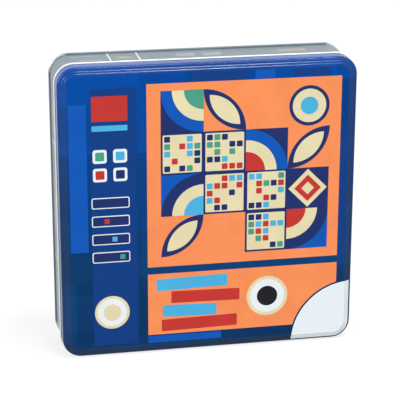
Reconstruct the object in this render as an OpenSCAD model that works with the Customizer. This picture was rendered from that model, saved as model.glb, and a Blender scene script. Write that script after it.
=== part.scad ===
// Square slip-lid tin for a travel word tile game, standing on its edge with
// the lid facing -Y. The origin is at the middle of the edge it stands on.
// The pieces are drawn lying flat, with the lid facing +Z, and then stood up.

/* [Tin] */
// Width and height of the closed tin over the rolled hem
tin_w = 240; // [232:1:300]
// Depth of the closed tin, from the lid's face to the bottom seam
tin_d = 50; // [48:1:70]
// Corner radius of the tin in plan, over the hem
corner_r = 16; // [12:1:24]
// Thickness of the tinplate
sheet_t = 0.35; // [0.25:0.05:0.45]

/* [Lid] */
// Depth of the lid, from its face to the foot of its hem
lid_d = 15; // [12:1:20]
// Diameter of the hem rolled outwards round the foot of the skirt
hem_d = 1.4; // [1.2:0.1:1.8]
// Free gap between the lid's skirt and the neck of the base
lid_gap = 0.5; // [0.3:0.1:0.7]
// Free gap between the hem and the sloped shoulder of the base
hem_gap = 0.3; // [0.2:0.1:0.6]
// Radius where the skirt turns into the first ledge of the face
shoulder_r = 1.8; // [1.2:0.1:2.4]
// Width of each flat ledge round the face
ledge_w = 0.8; // [0.5:0.1:1.2]
// Width of the slope between two ledges
step_w = 1; // [0.8:0.1:1.4]
// Rise from one ledge to the next
step_h = 0.7; // [0.4:0.1:0.8]
// Number of steps between the skirt and the flat face
step_n = 2; // [1:1:3]

/* [Base] */
// Height of the seam that joins the wall to the bottom
seam_h = 2.6; // [2.2:0.1:4]
// Depth of the bottom panel inside the seam
recess_d = 1.8; // [1.6:0.1:2.8]
// Distance from the wall to the raised panel in the bottom
panel_in = 7; // [5:1:12]
// Rise of the raised panel in the bottom
panel_h = 0.6; // [0.4:0.1:1]
// Diameter of the rim rolled inwards round the mouth of the base
rim_d = 1.4; // [1:0.1:1.8]
// Free gap between the rim and the underside of the lid
rim_gap = 0.3; // [0.2:0.1:0.6]

/* [Insert tray] */
// Thickness of the vacuum-formed plastic
tray_t = 0.7; // [0.5:0.1:1]
// Free gap between the tray and the rim of the base
tray_gap = 0.3; // [0.3:0.1:1]
// Room between the tray's deck and the lid's face
lid_room = 5; // [4.6:0.2:7]
// Width of the deck between two neighbouring wells
well_gap = 4; // [3:0.5:5]
// Corner radius of the wells
well_r = 2; // [1:0.2:2]
// Free play between the contents and the sides of a well
side_play = 1.5; // [1.3:0.1:2.5]
// How far the racks and the tiles lie below the deck
sink = 1.2; // [0.8:0.2:2.4]
// Radius of the finger scoops in the edges of the wells
scoop_r = 11; // [8:1:14]

/* [Game mat] */
// Side of the square mat before it is folded in half and rolled up
mat_side = 400; // [300:10:420]
// Thickness of the mat
mat_t = 1; // [0.8:0.05:1.05]
// Gap between the turns of the roll
roll_gap = 0.45; // [0.3:0.05:0.5]
// Radius of the hole down the middle of the roll
core_r = 4; // [3:0.5:5]

/* [Letter tiles] */
// Side of a tile
tile_w = 20; // [17:0.5:22]
// Thickness of a tile
tile_t = 10; // [3:0.5:11]
// Corner radius of a tile
tile_r = 3.5; // [1.5:0.1:4]
// Gap between neighbouring stacks of tiles
tile_gap = 0.4; // [0.2:0.1:0.8]
// Gap between two tiles in a stack
tile_play = 0.1; // [0.05:0.05:0.3]
// Stacks along each side of the tile well
tile_side_n = 5; // [4:1:5]
// Tiles in each stack
stack_n = 4; // [2:1:5]

/* [Tile racks] */
// Number of racks
rack_n = 4; // [2:1:4]
// Length of a rack
rack_l = 188; // [150:1:210]
// Width of a rack's foot, from its lip to its back
rack_w = 30; // [27:0.5:36]
// Height of a rack
rack_h = 15; // [12:0.5:15.5]
// Wall thickness of a rack
rack_wall = 1.6; // [1.2:0.1:2]
// Width of the groove that the tiles stand in
groove_w = 8; // [4.4:0.1:10]
// Depth of the groove behind the lip
groove_d = 2.2; // [1.5:0.1:3]
// How far the face that the tiles lean on runs back over its height
rack_lean = 14; // [7:0.5:16]
// Width of the ridge on top
ridge_w = 3.2; // [3:0.1:4.5]
// Gap between neighbouring racks in their well
rack_gap = 0.4; // [0.3:0.1:0.8]

/* [Bag and leaflet] */
// Width of the cloth bag, lying flat
bag_w = 92; // [70:1:110]
// Length of the cloth bag, with its gathered mouth
bag_l = 96; // [80:1:110]
// Length of the full part of the bag, below its gathered mouth
pouch_l = 70; // [55:1:78]
// Width of the gathered mouth
mouth_w = 54; // [30:1:68]
// Thickness of the bag, lying flat
bag_t = 14; // [10:1:20]
// Thickness of the gathered mouth
mouth_t = 8; // [5:0.5:9.5]
// Width of the folded leaflet
leaflet_w = 98; // [70:1:110]
// Height of the folded leaflet
leaflet_l = 98; // [70:1:110]
// Panels of the zigzag fold
leaflet_n = 6; // [4:1:8]
// Thickness of the leaflet's paper
paper_t = 0.35; // [0.2:0.05:0.5]

/* [Hidden] */
$fn = 48;

seat_gap = 0.3;     // gap between a loose piece and what it lies on
curl_bite = 0.05;   // how far a rolled edge bites into the sheet beside it
seam_play = 0.1;    // gap between the wall and the seam folded round it
seam_fold = 0.5;    // thickness of the folds of the seam
paper_gap = 0.12;   // gap between two panels of the leaflet
arc_n = 5;          // flats that stand for a small radius in a section
turn_n = 24;        // flats in one turn of the rolled mat
cut = 1;            // how far a cut runs past the face it opens

// The mat's roll: an even spiral of the folded mat
roll_t = 2 * mat_t;
roll_pitch = roll_t + roll_gap;
roll_start = core_r + roll_t / 2;
roll_end = sqrt(pow(roll_start, 2) + roll_pitch * mat_side / PI);
roll_turns = (roll_end - roll_start) / roll_pitch;
roll_r = roll_end + roll_t / 2;
roll_h = 2 * roll_r - roll_pitch;

// Pitches of what repeats, and the heaps that it makes
rack_pitch = rack_h + rack_gap;
tile_pitch = tile_w + tile_gap;
layer = tile_t + tile_play;
leaf_pitch = paper_t + paper_gap;
racks_h = rack_n * rack_pitch - rack_gap;
tiles_w = tile_side_n * tile_pitch - tile_gap;
stack_h = stack_n * layer - tile_play;
leaflet_t = (leaflet_n - 1) * leaf_pitch + paper_t;

// Heights in the closed tin, from the bottom seam up
neck_in = sheet_t + lid_gap;
inner_u = sheet_t + seam_play;
floor_z = recess_d + sheet_t + panel_h;
tray_foot = floor_z + seat_gap;
deck_z = tin_d - sheet_t - lid_room;
full_d = deck_z - tray_foot - tray_t;
ledge_z = tin_d - step_n * step_h;
rim_z = ledge_z - sheet_t - rim_gap - rim_d / 2;

// Size of the wells, each laid round what lies in it
function across(size) = size + 2 * side_play;
function upright(size) = size + seat_gap + side_play;
function down(size) = size + seat_gap + sink;
mat_size = [across(mat_side / 2), upright(roll_h), full_d];
rack_size = [across(rack_l), upright(racks_h), down(rack_w)];
tile_size = [across(tiles_w), upright(tiles_w), min(down(stack_h), full_d)];
bag_size = [across(max(bag_w, leaflet_w)), upright(max(bag_l, leaflet_l)), full_d];

// Place of the wells: mat on top, racks below it, tiles and bag side by side
low_w = tile_size[0] + well_gap + bag_size[0];
low_h = max(tile_size[1], bag_size[1]);
block_h = low_h + well_gap + rack_size[1] + well_gap + mat_size[1];
low_y = -block_h / 2;
rack_y = low_y + low_h + well_gap;
mat_y = rack_y + rack_size[1] + well_gap;

// Each well: middle x, lowest y, width, height, depth below the deck
MAT_WELL = concat([0, mat_y], mat_size);
RACK_WELL = concat([0, rack_y], rack_size);
TILE_WELL = concat([(tile_size[0] - low_w) / 2, low_y], tile_size);
BAG_WELL = concat([(low_w - bag_size[0]) / 2, low_y], bag_size);
WELLS = [MAT_WELL, RACK_WELL, TILE_WELL, BAG_WELL];

// Each finger scoop: x, y, depth below the deck
SCOOPS = [[0, mat_y, rack_size[2]],
          [TILE_WELL[0], low_y + low_h, tile_size[2]],
          [BAG_WELL[0], low_y + low_h, rack_size[2]]];

// The tin and the tray in it. Distances called u are measured outwards from
// the face of the lid's skirt, which is flush with the face of the base's wall.
hem_out = hem_d - sheet_t + curl_bite;
hem_u = hem_out - hem_d / 2;
hem_z = tin_d - lid_d + hem_d / 2;
neck_z = hem_u + hem_z - (hem_d / 2 + hem_gap) / sin(45);
rim_u = neck_in + rim_d / 2 - curl_bite;
face_u = shoulder_r + step_n * (ledge_w + step_w) + ledge_w;
panel_u = panel_in + step_w + ledge_w;
tray_u = rim_u + rim_d / 2 + tray_gap;
skirt_half = tin_w / 2 - hem_out;
skirt_r = corner_r - hem_out;
tray_half = skirt_half - tray_u;
tray_r = skirt_r - tray_u;

// Points of an arc round centre c, from angle a to angle b
function arc(c, r, a, b) =
    [for (i = [0:arc_n])
        let (t = a + (b - a) * i / arc_n)
        c + r * [cos(t), sin(t)]];

// Points of a soft step that goes inwards by w and up by h from p
function soft_step(p, w, h) =
    [for (i = [1:arc_n])
        let (t = i / arc_n)
        p + [-w * t, h * t * t * (3 - 2 * t)]];

// Unit vector to the left of the way from a to b
function left_of(a, b) = [a[1] - b[1], b[0] - a[0]] / norm(b - a);

// The path p moved by t to its left
function beside(p, t) =
    let (last = len(p) - 1)
    [for (i = [0:last])
        let (before = left_of(p[max(i - 1, 0)], p[max(i, 1)]),
             after = left_of(p[min(i, last - 1)], p[min(i + 1, last)]),
             mid = (before + after) / norm(before + after))
        p[i] + mid * t / (mid * before)];

function backwards(p) = [for (i = [len(p) - 1:-1:0]) p[i]];

// Section of a sheet whose outer face follows the path p
module sheet_section(p, t) {
    polygon(concat(p, backwards(beside(p, t))));
}

// Sweeps a section round a square with round corners. The section's x is u,
// measured outwards from the square, and its y is the height.
module round_frame(half, r) {
    for (i = [0:3])
        rotate([0, 0, 90 * i]) {
            translate([half, 0, 0])
                rotate([90, 0, 0])
                    linear_extrude(height = 2 * (half - r), center = true)
                        children();
            translate([half - r, half - r, 0])
                rotate_extrude(angle = 90)
                    translate([r, 0])
                        children();
        }
}

// Plate with round corners, w wide, h high and t thick
module round_plate(w, h, r, t) {
    linear_extrude(height = t) {
        square([w - 2 * r, h], center = true);
        square([w, h - 2 * r], center = true);
        for (x = [-1, 1], y = [-1, 1])
            translate([x * (w / 2 - r), y * (h / 2 - r)])
                circle(r);
    }
}

// Plate with round corners that fills a square frame of the skirt, u inside it
module inner_plate(u, t) {
    side = 2 * (skirt_half - u);
    round_plate(side, side, skirt_r - u, t);
}

// Stands a piece up from lying flat
module stand() {
    translate([0, 0, tin_w / 2])
        rotate([90, 0, 0])
            translate([0, 0, -tin_d / 2])
                children();
}

// Outer face of the lid's sheet, from the hem over the steps to the face
function lid_path() =
    concat([[0, hem_z]],
           arc([-shoulder_r, ledge_z - shoulder_r], shoulder_r, 0, 90),
           [for (k = [0:step_n - 1])
               let (foot = [-shoulder_r - k * (ledge_w + step_w) - ledge_w,
                            ledge_z + k * step_h])
               each concat([foot], soft_step(foot, step_w, step_h))],
           [[-face_u, tin_d]]);

module lid() {
    color("royalblue") {
        round_frame(skirt_half, skirt_r)
            sheet_section(lid_path(), sheet_t);
        translate([0, 0, tin_d - sheet_t])
            inner_plate(face_u, sheet_t);
    }
    color("white")
        round_frame(skirt_half, skirt_r)
            translate([hem_u, hem_z])
                circle(d = hem_d);
}

module base_wall() {
    wall_path = [[0, seam_fold + seam_play],
                 [0, neck_z],
                 [-neck_in, neck_z + neck_in],
                 [-neck_in, rim_z]];
    color("slategray")
        round_frame(skirt_half, skirt_r) {
            sheet_section(wall_path, sheet_t);
            translate([-rim_u, rim_z])
                circle(d = rim_d);
        }
}

// The bottom, with its edge folded round the foot of the wall
module base_bottom() {
    fold_u = -inner_u - seam_fold;
    sheet_z = recess_d + sheet_t;
    panel_path = concat([[-inner_u, sheet_z], [-panel_in, sheet_z]],
                        soft_step([-panel_in, sheet_z], step_w, panel_h),
                        [[-panel_u, floor_z]]);
    color("silver") {
        round_frame(skirt_half, skirt_r) {
            translate([seam_play, 0])
                square([hem_out - seam_play, seam_h]);
            translate([fold_u, 0])
                square([hem_out - fold_u, seam_fold]);
            translate([fold_u, 0])
                square([seam_fold, sheet_z]);
            sheet_section(panel_path, sheet_t);
        }
        translate([0, 0, floor_z - sheet_t])
            inner_plate(panel_u, sheet_t);
    }
}

// A well grown by g at its sides and floor, and cut off above the deck by up
module well(spec, g, up) {
    translate([spec[0], spec[1] + spec[3] / 2, deck_z - spec[4] - g])
        round_plate(spec[2] + 2 * g, spec[3] + 2 * g, well_r + g, spec[4] + g + up);
}

// A finger scoop, grown and cut off in the same way
module scoop(spec, g, up) {
    translate([spec[0], spec[1], deck_z - spec[2] - g])
        cylinder(r = scoop_r + g, h = spec[2] + g + up);
}

// A block for the tray's outside, u inside the outermost face
module tray_block(u, low, high) {
    side = 2 * (tray_half - u);
    translate([0, 0, low])
        round_plate(side, side, tray_r - u, high - low);
}

module insert_tray() {
    color("#26282b")
        difference() {
            union() {
                difference() {
                    tray_block(0, tray_foot, deck_z);
                    tray_block(tray_t, tray_foot - cut, deck_z - tray_t);
                }
                for (w = WELLS)
                    well(w, tray_t, 0);
                for (s = SCOOPS)
                    scoop(s, tray_t, 0);
            }
            for (w = WELLS)
                well(w, 0, cut);
            for (s = SCOOPS)
                scoop(s, 0, cut);
        }
}

// Draws the contents of a well from the middle of its lower wall, on its floor
module in_well(spec) {
    translate([spec[0], spec[1] + seat_gap, deck_z - spec[4] + seat_gap])
        children();
}

// One side of the rolled mat, g outside its middle line. The outer end lies
// on the floor of the well.
function roll_side(g) =
    [for (i = [0:ceil(roll_turns * turn_n)])
        let (turn = min(i / turn_n, roll_turns),
             r = roll_start + roll_pitch * turn + g,
             a = 270 + 360 * (turn - roll_turns))
        r * [cos(a), sin(a)]];

module game_mat() {
    color("midnightblue")
        in_well(MAT_WELL)
            translate([0, roll_r - roll_pitch / 4, roll_r])
                rotate([90, 0, 90])
                    linear_extrude(height = mat_side / 2, center = true)
                        polygon(concat(roll_side(-roll_t / 2),
                                       backwards(roll_side(roll_t / 2))));
}

// The face, ridge and back of a rack, from the groove to its heel
function rack_back() =
    let (foot = [rack_wall + groove_w, rack_wall],
         ridge = [foot[0] + rack_lean, rack_h])
    [foot, ridge, ridge + [ridge_w, 0], [rack_w, 0]];

// Section of a rack as it stands on a table, its lip at x = 0
module rack_section() {
    lip_h = rack_wall + groove_d;
    polygon(concat([[0, 0], [0, lip_h], [rack_wall, lip_h], [rack_wall, rack_wall]],
                   rack_back()));
}

// Section of the hollow under a rack, which runs out below its foot
module rack_hollow() {
    p = rack_back();
    polygon(beside([2 * p[0] - p[1], p[1], p[2], 2 * p[3] - p[2]], -rack_wall));
}

// One rack on its foot in the well, its lip towards the lid
module tile_rack(i) {
    color("#1b1c1e")
        in_well(RACK_WELL)
            translate([0, (i - 1) * rack_pitch, rack_w])
                rotate([0, 90, 0])
                    difference() {
                        linear_extrude(height = rack_l, center = true)
                            rack_section();
                        linear_extrude(height = rack_l - 2 * rack_wall, center = true)
                            rack_hollow();
                    }
}

// One stack of tiles, counted along the rows from the lower left of the well
module tile_stack(i) {
    column = (i - 1) % tile_side_n;
    row = floor((i - 1) / tile_side_n);
    color("white")
        in_well(TILE_WELL)
            for (k = [0:stack_n - 1])
                translate([(tile_w - tiles_w) / 2 + column * tile_pitch,
                           tile_w / 2 + row * tile_pitch,
                           k * layer])
                    round_plate(tile_w, tile_w, tile_r, tile_t);
}

// The bag lies flat on the leaflet, its gathered mouth upwards
module tile_bag() {
    color("#17181a")
        in_well(BAG_WELL)
            translate([0, 0, leaflet_t + seat_gap + bag_t / 2]) {
                hull()
                    for (x = [-1, 1], y = [bag_t / 2, pouch_l - bag_t / 2])
                        translate([x * (bag_w - bag_t) / 2, y, 0])
                            sphere(d = bag_t, $fn = 32);
                hull()
                    for (x = [-1, 1], y = [pouch_l - bag_t / 2, bag_l - mouth_t / 2])
                        translate([x * (mouth_w - mouth_t) / 2, y, 0])
                            sphere(d = mouth_t, $fn = 32);
            }
}

// A long strip of paper in a zigzag fold, flat on the floor of the bag's well
module rules_leaflet() {
    color("whitesmoke")
        in_well(BAG_WELL)
            translate([-leaflet_w / 2, leaflet_l, 0])
                rotate([90, 0, 0])
                    linear_extrude(height = leaflet_l) {
                        for (i = [0:leaflet_n - 1])
                            translate([0, i * leaf_pitch])
                                square([leaflet_w, paper_t]);
                        for (i = [0:leaflet_n - 2])
                            translate([i % 2 == 0 ? leaflet_w - paper_t : 0, i * leaf_pitch])
                                square([paper_t, leaf_pitch + paper_t]);
                    }
}

stand() lid();
stand() base_wall();
stand() base_bottom();
stand() insert_tray();
stand() game_mat();
for (i = [1:rack_n])
    stand() tile_rack(i);
stand() tile_bag();
stand() rules_leaflet();
for (i = [1:tile_side_n * tile_side_n])
    stand() tile_stack(i);
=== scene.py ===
"""Dresses the square slip-lid tin of a travel word tile game and sets up its studio.

The sizes of the tin's own pieces are in millimetres in the lying frame, in which the tin
lies on its bottom and its lid faces +Z. STAND turns them into the row frame, in metres.
"""

import logging
import math
import random
from dataclasses import dataclass, field
from enum import Enum
from typing import Iterable, Sequence

import bmesh
import bpy
from mathutils import Matrix, Vector, noise


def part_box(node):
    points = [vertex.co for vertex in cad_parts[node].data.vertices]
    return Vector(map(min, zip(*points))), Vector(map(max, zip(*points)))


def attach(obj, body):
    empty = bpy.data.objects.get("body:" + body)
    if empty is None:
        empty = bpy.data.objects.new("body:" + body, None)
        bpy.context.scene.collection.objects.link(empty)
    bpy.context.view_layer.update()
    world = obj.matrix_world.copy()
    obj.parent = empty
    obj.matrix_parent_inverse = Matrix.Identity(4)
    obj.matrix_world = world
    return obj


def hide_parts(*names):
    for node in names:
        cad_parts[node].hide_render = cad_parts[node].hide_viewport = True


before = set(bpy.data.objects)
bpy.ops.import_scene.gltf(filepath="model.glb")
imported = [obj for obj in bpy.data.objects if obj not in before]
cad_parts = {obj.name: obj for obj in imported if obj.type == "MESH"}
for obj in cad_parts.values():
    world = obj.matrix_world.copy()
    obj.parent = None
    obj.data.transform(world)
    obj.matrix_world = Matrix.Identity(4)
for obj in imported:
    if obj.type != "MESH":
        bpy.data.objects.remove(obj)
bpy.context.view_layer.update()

log = logging.getLogger("game_tin")

Colour = tuple[float, float, float, float]
Point = tuple[float, float]
Triple = tuple[float, float, float]

PURE_WHITE = (1.0, 1.0, 1.0, 1.0)
MM = 0.001
TIN_W = 240.0
TIN_D = 50.0
STAND = (
    Matrix.Translation((0.0, TIN_D / 2 * MM, TIN_W / 2 * MM))
    @ Matrix.Rotation(math.pi / 2, 4, "X")
    @ Matrix.Scale(MM, 4)
)


def srgb(red: int, green: int, blue: int) -> Colour:
    """Turns a colour as seen on a screen into the renderer's linear colour.

    Args:
        red: Red from 0 to 255.
        green: Green from 0 to 255.
        blue: Blue from 0 to 255.

    Returns:
        The linear colour with an alpha of 1.
    """
    parts = [c / 255 for c in (red, green, blue)]
    linear = [c / 12.92 if c <= 0.04045 else ((c + 0.055) / 1.055) ** 2.4 for c in parts]
    return (linear[0], linear[1], linear[2], 1.0)


def shade(colour: Colour, factor: float) -> Colour:
    """Multiplies a colour by a factor, and keeps each part at 1 or below.

    Args:
        colour: The colour.
        factor: The factor.

    Returns:
        The new colour with an alpha of 1.
    """
    return (*(min(1.0, part * factor) for part in colour[:3]), 1.0)


class Body(Enum):
    """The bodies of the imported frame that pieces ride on."""

    BASE = "tin_base"
    LID = "lid"
    TRAY = "tray"
    MAT = "mat"
    TILES = "tiles"
    LEAFLET = "leaflet"
    BAG = "bag"


class Slot(Enum):
    """The material slots of the record."""

    PRINTED = "printed_tinplate"
    GREY = "grey_tinplate"
    PLAIN = "plain_tinplate"
    TRAY = "tray_plastic"
    MAT = "mat_cloth"
    RACK = "rack_plastic"
    BAG = "bag_cloth"
    LEAFLET = "leaflet_paper"
    TILE = "tile_plastic"


class Shader:
    """The node tree of one material while it is built."""

    MIX_FACTOR, MIX_FIRST, MIX_SECOND, MIX_RESULT = 0, 6, 7, 2

    def __init__(self, name: str) -> None:
        """Starts a material with one Principled shader."""
        self.material = bpy.data.materials.new(name)
        self.material.use_nodes = True
        self.tree = self.material.node_tree
        self.surface = self.tree.nodes["Principled BSDF"]
        self.place = self.node("ShaderNodeTexCoord").outputs["Object"]

    def node(self, kind: str, **settings: object) -> bpy.types.Node:
        """Adds a node.

        Args:
            kind: The node's type name.
            settings: Properties to set on the node.

        Returns:
            The new node.
        """
        made = self.tree.nodes.new(kind)
        for key, value in settings.items():
            setattr(made, key, value)
        return made

    def join(self, source: bpy.types.NodeSocket, target: bpy.types.NodeSocket) -> None:
        """Links one socket to another.

        Args:
            source: The socket that gives the value.
            target: The socket that takes it.
        """
        self.tree.links.new(source, target)

    def noise(self, scale: float, detail: float = 2.0,
              stretch: Triple = (1.0, 1.0, 1.0)) -> bpy.types.NodeSocket:
        """Adds a noise pattern over the object's own coordinates.

        Args:
            scale: How many features there are in a metre.
            detail: How much fine detail is on top of them.
            stretch: How much denser the pattern is along each axis.

        Returns:
            The pattern's factor.
        """
        mapping = self.node("ShaderNodeMapping")
        mapping.inputs["Scale"].default_value = stretch
        self.join(self.place, mapping.inputs["Vector"])
        pattern = self.node("ShaderNodeTexNoise")
        pattern.inputs["Scale"].default_value = scale
        pattern.inputs["Detail"].default_value = detail
        self.join(mapping.outputs["Vector"], pattern.inputs["Vector"])
        return pattern.outputs["Fac"]

    def bands(self, scale: float, axis: str) -> bpy.types.NodeSocket:
        """Adds straight waves across one axis, as threads or rollers leave them.

        Args:
            scale: The wave texture's scale.
            axis: X, Y or Z.

        Returns:
            The pattern's factor.
        """
        wave = self.node("ShaderNodeTexWave", bands_direction=axis)
        wave.inputs["Scale"].default_value = scale
        wave.inputs["Distortion"].default_value = 0.6
        wave.inputs["Detail Scale"].default_value = 2.0
        self.join(self.place, wave.inputs["Vector"])
        return wave.outputs["Fac"]

    def ramp(self, factor: bpy.types.NodeSocket,
             stops: Sequence[tuple[float, Colour]]) -> bpy.types.NodeSocket:
        """Turns a factor into colours.

        Args:
            factor: The socket that is read.
            stops: Positions from 0 to 1 with their colours.

        Returns:
            The colour socket.
        """
        node = self.node("ShaderNodeValToRGB")
        elements = node.color_ramp.elements
        while len(elements) < len(stops):
            elements.new(1.0)
        for element, (position, colour) in zip(elements, stops):
            element.position = position
            element.color = colour
        self.join(factor, node.inputs["Fac"])
        return node.outputs["Color"]

    def shades(self, factor: bpy.types.NodeSocket, colour: Colour,
               *stops: Point) -> bpy.types.NodeSocket:
        """Turns a factor into shades of one colour.

        Args:
            factor: The socket that is read.
            colour: The colour.
            stops: Positions from 0 to 1, each with what the colour is multiplied by.

        Returns:
            The colour socket.
        """
        return self.ramp(factor, [(position, shade(colour, level)) for position, level in stops])

    def math(self, operation: str, first: bpy.types.NodeSocket,
             second: bpy.types.NodeSocket | float = 0.0) -> bpy.types.NodeSocket:
        """Adds a math node.

        Args:
            operation: The node's operation.
            first: The first value.
            second: The second value, a socket or a number.

        Returns:
            The result's socket.
        """
        node = self.node("ShaderNodeMath", operation=operation)
        self.join(first, node.inputs[0])
        if isinstance(second, (int, float)):
            node.inputs[1].default_value = second
        else:
            self.join(second, node.inputs[1])
        return node.outputs[0]

    def mix(self, factor: bpy.types.NodeSocket | float,
            first: bpy.types.NodeSocket | Colour, second: bpy.types.NodeSocket | Colour,
            blend: str = "MIX") -> bpy.types.NodeSocket:
        """Mixes two colours.

        Args:
            factor: The share of the second colour.
            first: The colour at a factor of 0.
            second: The colour at a factor of 1.
            blend: The way in which they are mixed.

        Returns:
            The mixed colour's socket.
        """
        node = self.node("ShaderNodeMix", data_type="RGBA", blend_type=blend)
        for value, place in ((factor, self.MIX_FACTOR), (first, self.MIX_FIRST),
                             (second, self.MIX_SECOND)):
            socket = node.inputs[place]
            if isinstance(value, bpy.types.NodeSocket):
                self.join(value, socket)
            else:
                socket.default_value = value
        return node.outputs[self.MIX_RESULT]

    def colour(self, source: bpy.types.NodeSocket) -> None:
        """Uses a socket as the surface's colour.

        Args:
            source: The socket.
        """
        self.join(source, self.surface.inputs["Base Color"])

    def roughness(self, factor: bpy.types.NodeSocket, low: float, high: float) -> None:
        """Lets the roughness vary with a pattern.

        Args:
            factor: The pattern.
            low: The roughness where the pattern is 0.
            high: The roughness where the pattern is 1.
        """
        node = self.node("ShaderNodeMapRange")
        node.inputs["To Min"].default_value = low
        node.inputs["To Max"].default_value = high
        self.join(factor, node.inputs["Value"])
        self.join(node.outputs["Result"], self.surface.inputs["Roughness"])

    def bump(self, height: bpy.types.NodeSocket, depth: float, strength: float) -> None:
        """Raises the surface by a pattern.

        Args:
            height: The pattern.
            depth: The height of a pattern of 1, in millimetres.
            strength: How strongly it shows, from 0 to 1.
        """
        node = self.node("ShaderNodeBump")
        node.inputs["Strength"].default_value = strength
        node.inputs["Distance"].default_value = depth * MM
        self.join(height, node.inputs["Height"])
        self.join(node.outputs["Normal"], self.surface.inputs["Normal"])


@dataclass(frozen=True)
class Finish:
    """A finish that several pieces may share. Its material is built once."""

    name: str

    def material(self) -> bpy.types.Material:
        """Returns the finish's material, and builds it the first time."""
        found = bpy.data.materials.get(self.name)
        if found is None:
            shader = Shader(self.name)
            self.paint(shader)
            found = shader.material
        return found

    def paint(self, shader: Shader) -> None:
        """Builds the finish's nodes."""
        raise NotImplementedError


@dataclass(frozen=True)
class PrintedInk(Finish):
    """Ink printed on tinplate under a clear varnish."""

    colour: Colour
    mottle: float = 0.05
    gloss: float = 0.15

    def paint(self, shader: Shader) -> None:
        """Builds a faintly mottled colour under a smooth varnish."""
        shader.surface.inputs["Specular IOR Level"].default_value = self.gloss
        shader.colour(shader.shades(shader.noise(45.0, 3.0), self.colour,
                                    (0.3, 1 - self.mottle), (0.7, 1 + self.mottle)))
        shader.roughness(shader.noise(160.0, 4.0), 0.24, 0.34)
        shader.bump(shader.noise(420.0, 1.0), 0.02, 0.12)


@dataclass(frozen=True)
class ToneBlocks:
    """A pattern of translucent blocks over the lid's ground.

    Attributes:
        height: The height of a block in metres.
        dark: The darkest block's factor.
        shift: How far the pattern is moved, in heights, so that two of them cross.
        light: The lightest block's factor.
        stretch: How much wider than high a block is.
    """

    height: float
    dark: float
    shift: float
    light: float = 1.0
    stretch: float = 1.7


@dataclass(frozen=True)
class LidGround(Finish):
    """The lid's blue ground, with painted light and shade: lighter towards its top and duller towards
    its foot. It has faint tonal blocks.
    """

    gloss: float = 0.06
    smooth: float = 0.2
    # top and foot are the painted lit top and the painted shaded foot of the blue ground.
    top: Colour = srgb(0, 82, 180)
    foot: Colour = srgb(10, 68, 124)
    blocks: tuple[ToneBlocks, ...] = (ToneBlocks(0.052, 0.66, 0.37), ToneBlocks(0.031, 0.8, 0.12))
    corner: Colour = srgb(234, 243, 248)
    corner_at: Point = (118.9, 1.1)
    corner_size: float = 50.0
    edge_y: float = -23.595

    def paint(self, shader: Shader) -> None:
        """Builds the painted light-and-shade gradient, the tonal blocks and the pale corner."""
        shader.surface.inputs["Specular IOR Level"].default_value = self.gloss
        axes = shader.node("ShaderNodeSeparateXYZ")
        shader.join(shader.place, axes.inputs[0])
        height = shader.math("DIVIDE", axes.outputs["Z"], TIN_W * MM)
        # Painted light and shade: the ground is brighter at the top and duller at the foot, as the
        # light falls on it.
        ground = shader.ramp(height, [(0.0, self.foot), (0.35, shade(self.foot, 1.1)),
                                      (1.0, self.top)])
        for blocks in self.blocks:
            ground = self._with_blocks(shader, ground, blocks)
        cloud = shader.shades(shader.noise(30.0, 2.0), PURE_WHITE, (0.3, 0.95), (0.7, 1.0))
        ground = shader.mix(1.0, ground, cloud, "MULTIPLY")
        shader.colour(shader.mix(self._corner(shader, axes), ground, self.corner))
        shader.roughness(shader.noise(140.0, 4.0), self.smooth, self.smooth + 0.08)
        shader.bump(shader.noise(300.0, 1.0), 0.02, 0.12)

    @staticmethod
    def _with_blocks(shader: Shader, ground: bpy.types.NodeSocket,
                     blocks: ToneBlocks) -> bpy.types.NodeSocket:
        """Lays translucent blocks over the ground.

        Args:
            shader: The material that is built.
            ground: The colour under the blocks.
            blocks: The pattern.

        Returns:
            The colour with the blocks.
        """
        size = blocks.height
        shift = blocks.shift * size
        turn = shader.node("ShaderNodeMapping")
        turn.inputs["Rotation"].default_value = (math.radians(-90.0), 0.0, 0.0)
        turn.inputs["Location"].default_value = (shift, 2 * shift, 0.0)
        shader.join(shader.place, turn.inputs["Vector"])
        brick = shader.node("ShaderNodeTexBrick", offset=0.4, offset_frequency=2)
        brick.inputs["Color1"].default_value = shade(PURE_WHITE, blocks.dark)
        brick.inputs["Color2"].default_value = shade(PURE_WHITE, blocks.light)
        brick.inputs["Mortar"].default_value = shade(PURE_WHITE, blocks.light)
        brick.inputs["Scale"].default_value = 1.0
        brick.inputs["Mortar Size"].default_value = 0.0
        brick.inputs["Brick Width"].default_value = size * blocks.stretch
        brick.inputs["Row Height"].default_value = size
        shader.join(turn.outputs["Vector"], brick.inputs["Vector"])
        return shader.mix(1.0, ground, brick.outputs["Color"], "MULTIPLY")

    def _corner(self, shader: Shader, axes: bpy.types.Node) -> bpy.types.NodeSocket:
        """Marks the pale quarter disc in the lower right corner of the lid's front.

        Args:
            shader: The material that is built.
            axes: The node that gives the coordinates one by one.

        Returns:
            A factor of 1 inside the corner, and of 0 outside it.
        """
        across = shader.math("SUBTRACT", axes.outputs["X"], self.corner_at[0] * MM)
        up = shader.math("SUBTRACT", axes.outputs["Z"], self.corner_at[1] * MM)
        squares = shader.math("ADD", shader.math("MULTIPLY", across, across),
                              shader.math("MULTIPLY", up, up))
        inside = shader.math("LESS_THAN", squares, (self.corner_size * MM) ** 2)
        front = shader.math("LESS_THAN", axes.outputs["Y"], self.edge_y * MM)
        return shader.math("MULTIPLY", inside, front)


@dataclass(frozen=True)
class GreyPrint(Finish):
    """The grey print round the wall of the base."""

    colour: Colour = srgb(112, 128, 138)

    def paint(self, shader: Shader) -> None:
        """Builds a cool grey with soft clouds under a satin varnish."""
        cloud = shader.noise(26.0, 3.0)
        shader.colour(shader.shades(cloud, self.colour, (0.25, 0.8), (0.75, 1.12)))
        shader.roughness(shader.noise(180.0, 4.0), 0.3, 0.42)
        shader.bump(shader.noise(380.0, 1.0), 0.02, 0.12)


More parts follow.
